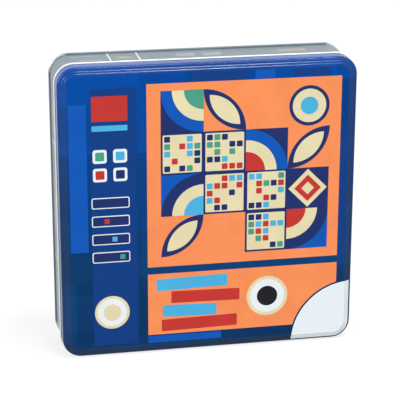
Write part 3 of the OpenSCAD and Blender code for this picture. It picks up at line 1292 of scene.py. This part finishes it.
def round_edges(mesh: bmesh.types.BMesh, above: float, width: float, segments: int = 2) -> None:
    """Rounds the sharp edges of a mesh.

    Args:
        mesh: The mesh.
        above: Edges that bend by more than this many degrees are rounded.
        width: The width of the rounding, in the mesh's unit.
        segments: The rounding's segments.
    """
    sharp = [e for e in mesh.edges
             if len(e.link_faces) == 2 and e.calc_face_angle(0.0) > math.radians(above)]
    bmesh.ops.bevel(mesh, geom=sharp, offset=width, offset_type="OFFSET", segments=segments,
                    profile=0.5, affect="EDGES", clamp_overlap=True, material=-1)


def softened(node: str, name: str, finish: Finish, width: float, weld: float = 0.005,
             flat_within: float = 0.5) -> bpy.types.Object:
    """Makes a copy of a rigid CAD node with softly rounded edges.

    Args:
        node: The CAD node.
        name: The new piece's name.
        finish: Its finish.
        width: The width of the rounding in millimetres.
        weld: How near points in millimetres are joined.
        flat_within: Faces that bend by less than this many degrees become one.

    Returns:
        The new piece.
    """
    mesh = bmesh.new()
    mesh.from_mesh(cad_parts[node].data)
    bmesh.ops.remove_doubles(mesh, verts=mesh.verts, dist=weld * MM)
    bmesh.ops.dissolve_limit(mesh, angle_limit=math.radians(flat_within), verts=mesh.verts,
                             edges=mesh.edges)
    round_edges(mesh, 32.0, width * MM)
    return make_piece(mesh, name, [finish], sharp=40.0)


@dataclass
class TrayAndRacks:
    """The black insert tray and the racks that lie in it."""

    racks: int = 4
    tray_edge: float = 0.28
    rack_edge: float = 0.35

    def build(self) -> None:
        """Builds the tray and the racks and mounts them."""
        formed = MouldedPlastic("formed_black", srgb(38, 39, 42), 0.3, 0.42, 0.2)
        moulded = MouldedPlastic("moulded_black", srgb(28, 29, 31), 0.36, 0.5, 0.35)
        mount(softened("insert_tray", "insert_tray_shell", formed, self.tray_edge),
              Body.TRAY, Slot.TRAY, "insert_tray")
        for i in range(1, self.racks + 1):
            node = f"tile_rack_{i}"
            piece = softened(node, f"rack_{i}_shell", moulded, self.rack_edge)
            mount(piece, f"rack_{i}", Slot.RACK, node)


@dataclass
class GameMat:
    """The thin mat, folded in half along its length and rolled up."""

    side: float = 400.0
    cloth: float = 0.9
    lift: float = 0.5
    pitch: float = 2.45
    start: float = 5.0
    end: float = 18.356
    centre: Point = (87.22, 23.41)
    steps_per_turn: int = 40

    def section(self) -> list[Point]:
        """Gives the folded mat's section: along the roll, and outwards from its middle line."""
        half = self.side / 4
        inner = [(-half + self.side / 8 * i, -self.lift) for i in range(4)]
        fold = arc((half - self.lift, 0.0), self.lift, -90, 90, 6)
        return inner + fold + [(x, self.lift) for x, _ in reversed(inner)]

    def build(self) -> None:
        """Builds the roll and mounts it."""
        turns = (self.end - self.start) / self.pitch
        count = math.ceil(turns * self.steps_per_turn)
        angle = math.radians(270 - 360 * turns)
        step = 2 * math.pi * turns / count
        grow = (self.end - self.start) / count
        y, z = self.centre
        mesh = bmesh.new()
        across, upwards = math.cos(angle), math.sin(angle)
        points = [mesh.verts.new((x, y + (self.start + out) * across, z + (self.start + out) * upwards))
                  for x, out in self.section()]
        edges = [mesh.edges.new(pair) for pair in zip(points, points[1:])]
        turn = Matrix.Rotation(step, 3, "X")
        for _ in range(count):
            angle += step
            verts, edges = new_row(mesh, edges)
            bmesh.ops.rotate(mesh, verts=verts, cent=(0.0, y, z), matrix=turn)
            bmesh.ops.translate(mesh, verts=verts,
                                vec=(0.0, grow * math.cos(angle), grow * math.sin(angle)))
        settle(mesh)
        cloth = WovenCloth("mat_weave", srgb(30, 56, 118), 0.7)
        piece = make_piece(mesh, "game_mat_roll", [cloth], sharp=60.0)
        give_wall(piece, self.cloth)
        piece.modifiers["wall"].offset = 0.0
        mount(piece, Body.MAT, Slot.MAT, "game_mat")


@dataclass
class TileStacks:
    """The letter tiles, in stacks of four, with a plain letter and number on the top ones."""

    stacks: int = 25
    layers: int = 4
    play: float = 0.1
    corner: float = 3.5
    edge: float = 0.5
    foot: float = 0.42
    top_width: float = 0.76
    letter_size: float = 9.6
    letter_at: Point = (-0.6, 0.5)
    number_size: float = 3.6
    number_at: Point = (4.9, -4.7)
    ink: float = 0.03
    letters: str = "QAEXTIROHZEPLUJNOGAMVKDSB"
    numbers: str = "5115111125121251121233213"

    def tile(self, mesh: bmesh.types.BMesh, low: Vector, high: Vector) -> None:
        """Adds one tile in a box, in millimetres of the row frame: a square foot, sides that
        slope inwards above it, and a flat top that faces -Y.

        Args:
            mesh: The mesh that takes the tile.
            low: The box's lowest corner.
            high: Its highest corner.
        """
        size = high - low
        middle = (low + high) / 2
        points = [mesh.verts.new((middle.x + x, high.y, middle.z + z))
                  for x, z in block(size.x, size.z, self.corner)]
        face = mesh.faces.new(points)
        for share, width in ((self.foot, 1.0), (1.0 - self.foot, self.top_width)):
            face = raise_face(mesh, face, Vector((0.0, -share * size.y, 0.0)))
            bmesh.ops.scale(mesh, verts=list(face.verts), vec=(width, 1.0, width),
                            space=Matrix.Translation(-middle))

    def build_stack(self, number: int, finish: Finish) -> None:
        """Builds one stack and mounts it.

        Args:
            number: The stack's number.
            finish: The tiles' finish.
        """
        node = f"tile_stack_{number}"
        low, high = (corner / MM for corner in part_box(node))
        layer = (high.y - low.y + self.play) / self.layers
        mesh = bmesh.new()
        for i in range(self.layers):
            self.tile(mesh, Vector((low.x, low.y + i * layer, low.z)),
                      Vector((high.x, low.y + (i + 1) * layer - self.play, high.z)))
        bmesh.ops.recalc_face_normals(mesh, faces=mesh.faces)
        round_edges(mesh, 50.0, self.edge)
        bmesh.ops.scale(mesh, verts=mesh.verts, vec=(MM, MM, MM))
        piece = make_piece(mesh, f"tiles_{number}", [finish], sharp=40.0)
        mount(piece, Body.TILES, Slot.TILE, node)

    def sign(self, mesh: bmesh.types.BMesh, text: str, size: float, number: int, at: Point) -> None:
        """Adds a letter or a number as a thin film on the top tile of a stack.

        Args:
            mesh: The mesh that takes the sign, in metres of the row frame.
            text: The letter or number.
            size: Its size in millimetres.
            number: The stack's number.
            at: Where its middle comes on the tile, in millimetres from the tile's middle.
        """
        low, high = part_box(f"tile_stack_{number}")
        curve = bpy.data.curves.new("sign", "FONT")
        curve.body = text
        curve.size = size * MM
        curve.align_x = "CENTER"
        curve.align_y = "CENTER"
        curve.resolution_u = 3
        curve.extrude = self.ink * MM
        drawn = bpy.data.objects.new("sign", curve)
        made = drawn.to_mesh()
        middle = (low + high) / 2
        spot = (middle.x + at[0] * MM, low.y, middle.z + at[1] * MM)
        made.transform(Matrix.Translation(spot) @ Matrix.Rotation(math.pi / 2, 4, "X"))
        mesh.from_mesh(made)
        drawn.to_mesh_clear()
        bpy.data.objects.remove(drawn)
        bpy.data.curves.remove(curve)

    def build(self) -> None:
        """Builds all stacks, their letters and their numbers."""
        white = MouldedPlastic("tile_white", srgb(230, 233, 232), 0.26, 0.38, 0.1, 0.05)
        mesh = bmesh.new()
        for number in range(1, self.stacks + 1):
            self.build_stack(number, white)
            self.sign(mesh, self.letters[number - 1], self.letter_size, number, self.letter_at)
            self.sign(mesh, self.numbers[number - 1], self.number_size, number, self.number_at)
        mount(make_piece(mesh, "tile_letters", [Inks.LETTER]), Body.TILES, Slot.TILE)


@dataclass
class TileBag:
    """The black cloth bag that lies flat on the leaflet, its mouth gathered."""

    rings: int = 60
    around: int = 120
    width_stops: Sequence[Point] = (
        (0.0, 0.84), (0.1, 0.975), (0.42, 0.94), (0.74, 0.34), (0.8, 0.33), (1.0, 0.56))
    depth_stops: Sequence[Point] = (
        (0.0, 0.14), (0.2, 0.72), (0.45, 0.8), (0.76, 0.5), (0.84, 0.46), (1.0, 0.42))
    gather_stops: Sequence[Point] = ((0.0, 0.0), (0.35, 0.0), (0.76, 1.0), (1.0, 0.8))
    mouth_stops: Sequence[Point] = ((0.86, 0.4), (0.72, 3.0), (0.6, 9.0))
    flatness: float = 0.75
    pleats: int = 15
    pleat_depth: float = 0.1
    pleat_drift: Point = (1.3, 2.0)
    crease_depth: float = 0.32
    crease_level: float = 0.35
    crease_power: float = 0.7
    unrest: Point = (0.03, 0.04)
    unrest_scale: Triple = (18.0, 30.0, 18.0)

    @staticmethod
    def blend(share: float, stops: Sequence[Point]) -> float:
        """Reads a smooth curve through some stops.

        Args:
            share: Where it is read, from 0 to 1.
            stops: Positions with their values.

        Returns:
            The value there.
        """
        for (a, low), (b, high) in zip(stops, stops[1:]):
            if share <= b:
                t = max(0.0, (share - a) / (b - a))
                return low + (high - low) * t * t * (3 - 2 * t)
        return stops[-1][1]

    def shape(self, share: float, turn: float, low: Vector, high: Vector) -> Vector:
        """Gives a point of the bag's skin.

        Args:
            share: How far up the bag it is, from 0 to 1.
            turn: Where it is round the bag, in radians.
            low: The bag's lowest corner.
            high: The bag's highest corner.

        Returns:
            The point in the row frame.
        """
        size = high - low
        wide = self.blend(share, self.width_stops)
        thick = self.blend(share, self.depth_stops)
        gather = self.blend(share, self.gather_stops)
        across, deep = math.cos(turn), math.sin(turn)
        x = math.copysign(abs(across) ** self.flatness, across) * wide * size.x / 2
        y = math.copysign(abs(deep) ** self.flatness, deep) * thick * size.y / 2
        z = low.z + share * size.z
        place = Vector((x, y, z)) * Vector(self.unrest_scale)
        drift, waves = self.pleat_drift
        pleat = math.cos(self.pleats * turn + drift * math.sin(waves * turn))
        fold = pleat * self.pleat_depth * gather
        crease = abs(noise.noise(Vector((x * 30 + z * 24, y * 12, z * 30 - x * 18))))
        sway = self.crease_depth * (crease ** self.crease_power - self.crease_level)
        swell_x = 1.0 + 0.35 * fold + self.unrest[0] * noise.noise(place)
        swell_y = 1.0 + fold + sway * (1.0 - 0.7 * gather) + self.unrest[1] * noise.noise(place * 5)
        x = min(max(x * swell_x, -size.x / 2), size.x / 2)
        y = min(max(y * swell_y, -size.y / 2), size.y / 2)
        middle = (low + high) / 2
        return Vector((middle.x + x, middle.y + y, z))

    def build(self) -> None:
        """Builds the bag and mounts it."""
        low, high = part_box("tile_bag")
        mesh = bmesh.new()
        made = bmesh.ops.create_circle(mesh, cap_ends=False, radius=0.01, segments=self.around)
        loop = list(made["verts"])
        turns = {v: math.atan2(v.co.y, v.co.x) for v in loop}
        edges = list(mesh.edges)
        for vert in loop:
            vert.co = self.shape(0.0, turns[vert], low, high)
        bottom = list(edges)
        for ring in range(1, self.rings + 1):
            known = {self._spot(vert): turn for vert, turn in turns.items()}
            verts, edges = new_row(mesh, edges)
            turns = {vert: known[self._spot(vert)] for vert in verts}
            for vert, turn in turns.items():
                vert.co = self.shape(ring / self.rings, turn, low, high)
        mouth = self._tuck(mesh, edges, (low + high) / 2, high)
        for rim in (bottom, mouth):
            bmesh.ops.contextual_create(mesh, geom=rim)
        bmesh.ops.recalc_face_normals(mesh, faces=mesh.faces)
        cloth = WovenCloth("bag_weave", srgb(30, 30, 33), 0.5)
        piece = make_piece(mesh, "tile_bag_cloth", [cloth], sharp=80.0)
        mount(piece, Body.BAG, Slot.BAG, "tile_bag")

    @staticmethod
    def _spot(vert: bmesh.types.BMVert) -> tuple[float, ...]:
        """Gives a point's place, rounded so that a copy of the point is found by it.

        Args:
            vert: The point.

        Returns:
            The rounded coordinates.
        """
        return tuple(round(part, 7) for part in vert.co)

    def _tuck(self, mesh: bmesh.types.BMesh, edges: list[bmesh.types.BMEdge], middle: Vector,
              high: Vector) -> list[bmesh.types.BMEdge]:
        """Tucks the mouth's edge inwards, so that the mouth reads as open.

        Args:
            mesh: The bag's mesh.
            edges: The mouth's edges.
            middle: The bag's middle.
            high: The bag's highest corner.

        Returns:
            The last loop's edges.
        """
        for shrink, drop in self.mouth_stops:
            verts, edges = new_row(mesh, edges)
            for vert in verts:
                vert.co.x = middle.x + (vert.co.x - middle.x) * (0.5 + shrink / 2)
                vert.co.y = middle.y + (vert.co.y - middle.y) * shrink
                vert.co.z = high.z - drop * MM
        return edges


@dataclass
class Leaflet:
    """The leaflet, a strip of paper in a zigzag fold."""

    panels: int = 6
    paper: float = 0.3
    border: float = 5.0
    sides_in: float = 2.0
    rule: float = 0.9
    rule_count: int = 17
    rules_from: float = 16.0
    rules_apart: float = 4.0
    rules_shorter: Point = (34.0, 9.0)
    film: float = 0.04

    def build_print(self, low: Vector, high: Vector) -> bpy.types.Object:
        """Builds the cover's print: a plain blue border round thin rules of three lengths.

        Args:
            low: The leaflet's lowest corner, in metres.
            high: Its highest corner.

        Returns:
            The piece.
        """
        left, right, foot, top = (c / MM for c in (low.x, high.x, low.z, high.z))
        edge, inset = self.border, self.border + self.sides_in
        wide, tall = right - left - 2 * edge, top - foot - 2 * edge
        x, z = (left + right) / 2, (foot + top) / 2
        patches = [Patch(x, top - edge, wide, edge), Patch(x, foot + edge, wide, edge),
                   Patch(left + inset, z, edge, tall), Patch(right - inset, z, edge, tall)]
        shorter, step = self.rules_shorter
        for i in range(self.rule_count):
            length = right - left - shorter - step * (i % 3)
            patches.append(Patch(x, top - self.rules_from - self.rules_apart * i, length, self.rule))
        mesh = bmesh.new()
        depth = low.y / MM + self.film / 2
        for patch in patches:
            points = [mesh.verts.new((patch.x + a, depth, patch.y + b))
                      for a, b in block(patch.width, patch.height)]
            raise_face(mesh, mesh.faces.new(points), Vector((0.0, -self.film, 0.0)))
        bmesh.ops.recalc_face_normals(mesh, faces=mesh.faces)
        bmesh.ops.scale(mesh, verts=mesh.verts, vec=(MM, MM, MM))
        return make_piece(mesh, "leaflet_print", [Inks.NAVY])

    def build(self) -> None:
        """Builds the leaflet and mounts it."""
        low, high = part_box("rules_leaflet")
        half = self.paper / 2 * MM
        pitch = (high.y - low.y - 2 * half) / (self.panels - 1)
        bend = pitch / 2
        outline: list[Point] = []
        for i in range(self.panels):
            depth = low.y + half + i * pitch
            ends = [low.x + half + bend, high.x - half - bend]
            outline += [(x, depth) for x in (ends if i % 2 == 0 else reversed(ends))]
            if i < self.panels - 1:
                side, sweep = (ends[1], 90) if i % 2 == 0 else (ends[0], -90)
                outline += [(side + bend * math.copysign(math.cos(math.radians(t)), sweep),
                             depth + bend + bend * math.sin(math.radians(t))) for t in (-45, 0, 45)]
        mesh = bmesh.new()
        points = [mesh.verts.new((x, y, low.z)) for x, y in outline]
        edges = [mesh.edges.new(pair) for pair in zip(points, points[1:])]
        verts, _ = new_row(mesh, edges)
        bmesh.ops.translate(mesh, verts=verts, vec=(0.0, 0.0, high.z - low.z))
        bmesh.ops.recalc_face_normals(mesh, faces=mesh.faces)
        piece = make_piece(mesh, "leaflet_paper", [CoatedPaper("coated_paper")], sharp=60.0)
        give_wall(piece, self.paper)
        piece.modifiers["wall"].offset = 0.0
        mount(piece, Body.LEAFLET, Slot.LEAFLET, "rules_leaflet")
        mount(self.build_print(low, high), Body.LEAFLET, Slot.LEAFLET)


@dataclass(frozen=True)
class Lamp:
    """A soft lamp with a square or oblong face.

    Attributes:
        name: Its name.
        at: Where it stands, in metres.
        size: Its width and height in metres.
        power: Its power in watts.
    """

    name: str
    at: Triple
    size: Point
    power: float

    def build(self, aim: Triple) -> None:
        """Builds the lamp.

        Args:
            aim: The point that it faces.
        """
        data = bpy.data.lights.new(self.name, "AREA")
        data.shape = "RECTANGLE"
        data.size, data.size_y = self.size
        data.energy = self.power
        lamp = bpy.data.objects.new(self.name, data)
        way = Vector(aim) - Vector(self.at)
        turn = way.to_track_quat("-Z", "Y").to_matrix().to_4x4()
        lamp.matrix_world = Matrix.Translation(self.at) @ turn
        bpy.context.scene.collection.objects.link(lamp)


@dataclass
class Studio:
    """The pale floor, the plain light and the camera."""

    lens: float = 142.9
    sensor: float = 36.0
    camera_at: Triple = (-0.2420, -1.1963, 0.5146)
    pan: float = 11.31
    tilt: float = -17.93
    roll: float = 0.11
    sky: float = 0.44
    floor_reach: float = 2.6
    floor_albedo: float = 0.25
    floor_glow: float = 0.765
    aim: Triple = (0.0, 0.0, 0.12)
    lamps: Sequence[Lamp] = (Lamp("key", (-4.5, -2.7, 2.0), (3.0, 3.0), 190.0),
                             Lamp("fill", (2.4, -4.7, 2.0), (3.6, 3.6), 90.0),
                             Lamp("top", (0.84, -1.08, 4.3), (1.8, 0.36), 105.0))

    def build_camera(self) -> None:
        """Builds the camera that looks at the tin."""
        pan, tilt = math.radians(self.pan), math.radians(self.tilt)
        level = math.cos(tilt)
        forward = Vector((math.sin(pan) * level, math.cos(pan) * level, math.sin(tilt)))
        right = forward.cross(Vector((0.0, 0.0, 1.0))).normalized()
        above = right.cross(forward)
        turn = Matrix((right, above, -forward)).transposed().to_4x4()
        data = bpy.data.cameras.new("camera")
        data.lens = self.lens
        data.sensor_width = self.sensor
        camera = bpy.data.objects.new("camera", data)
        camera.matrix_world = (Matrix.Translation(self.camera_at) @ turn
                               @ Matrix.Rotation(math.radians(self.roll), 4, "Z"))
        bpy.context.scene.collection.objects.link(camera)
        bpy.context.scene.camera = camera

    @staticmethod
    def seen_directly(tree: bpy.types.NodeTree) -> bpy.types.NodeSocket:
        """Marks the rays that come from the camera, or from a glossy or clear surface.

        Args:
            tree: The node tree that takes the nodes.

        Returns:
            A factor of 1 for those rays.
        """
        path = tree.nodes.new("ShaderNodeLightPath")
        total = path.outputs["Is Camera Ray"]
        for name in ("Is Glossy Ray", "Is Transmission Ray"):
            add = tree.nodes.new("ShaderNodeMath")
            add.operation = "MAXIMUM"
            tree.links.new(total, add.inputs[0])
            tree.links.new(path.outputs[name], add.inputs[1])
            total = add.outputs[0]
        return total

    def build_sky(self) -> None:
        """Builds a white surround that lights the tin plainly."""
        world = bpy.data.worlds.new("surround")
        world.use_nodes = True
        bpy.context.scene.world = world
        tree = world.node_tree
        back = tree.nodes["Background"]
        back.inputs["Color"].default_value = PURE_WHITE
        level = tree.nodes.new("ShaderNodeMapRange")
        level.inputs["To Min"].default_value = self.sky
        level.inputs["To Max"].default_value = 1.0
        tree.links.new(self.seen_directly(tree), level.inputs["Value"])
        tree.links.new(level.outputs["Result"], back.inputs["Strength"])

    def build_floor(self) -> None:
        """Builds the white floor, which keeps the tin's shadow."""
        mesh = bmesh.new()
        bmesh.ops.create_grid(mesh, x_segments=1, y_segments=1, size=self.floor_reach)
        data = bpy.data.meshes.new("floor")
        mesh.to_mesh(data)
        mesh.free()
        floor = bpy.data.objects.new("floor", data)
        bpy.context.scene.collection.objects.link(floor)
        material = bpy.data.materials.new("floor_white")
        material.use_nodes = True
        tree = material.node_tree
        surface = tree.nodes["Principled BSDF"]
        surface.inputs["Base Color"].default_value = shade(PURE_WHITE, self.floor_albedo)
        surface.inputs["Roughness"].default_value = 0.7
        surface.inputs["Specular IOR Level"].default_value = 0.0
        surface.inputs["Emission Color"].default_value = PURE_WHITE
        glow = tree.nodes.new("ShaderNodeMath")
        glow.operation = "MULTIPLY"
        glow.inputs[1].default_value = self.floor_glow
        tree.links.new(self.seen_directly(tree), glow.inputs[0])
        tree.links.new(glow.outputs[0], surface.inputs["Emission Strength"])
        data.materials.append(material)

    def build(self) -> None:
        """Builds the whole studio."""
        self.build_camera()
        self.build_sky()
        self.build_floor()
        for lamp in self.lamps:
            lamp.build(self.aim)
        bpy.context.scene.view_settings.view_transform = "Standard"


def main() -> None:
    """Builds the tin, what lies in it, and the studio."""
    logging.basicConfig(level=logging.INFO, format="%(name)s: %(message)s")
    Studio().build()
    Lid().build()
    LidPrint().build()
    Base().build()
    SidePrint().build()
    TrayAndRacks().build()
    GameMat().build()
    TileStacks().build()
    TileBag().build()
    Leaflet().build()


if __name__ == "__main__":
    main()
